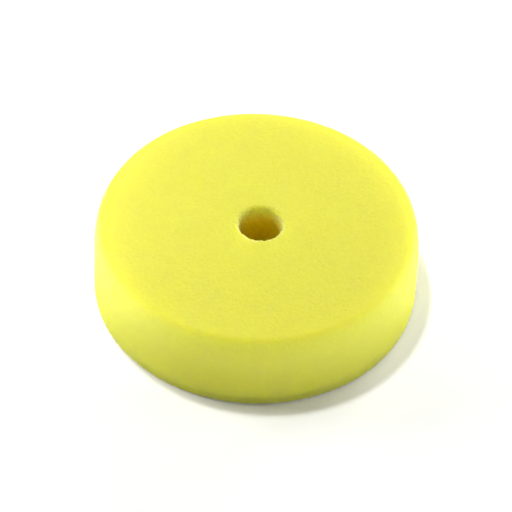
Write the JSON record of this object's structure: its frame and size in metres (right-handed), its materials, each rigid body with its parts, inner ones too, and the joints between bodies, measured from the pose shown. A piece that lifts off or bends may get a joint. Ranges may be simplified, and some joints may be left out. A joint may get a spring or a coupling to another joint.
{
  "type": "foam polishing pad",
  "caption": "Round foam polishing pad with a centre hole, a rounded working edge and a hook-and-loop fabric backing.",
  "frame": {"origin": "centre of the loop face, on the plane that the pad stands on", "axes": "+Z through the thickness, from the loop face to the working face; +X to the right and +Y away, as the picture shows the pad"},
  "size_m": [0.15, 0.15, 0.04],
  "materials": {
    "foam": "matte",
    "adhesive": "satin",
    "backing_cloth": "matte",
    "loop_pile": "matte"
  },
  "bodies": {
    "root": {"foam_disc": "foam", "adhesive_film": "adhesive", "backing_cloth": "backing_cloth", "loop_pile": "loop_pile"}
  },
  "joints": []
}
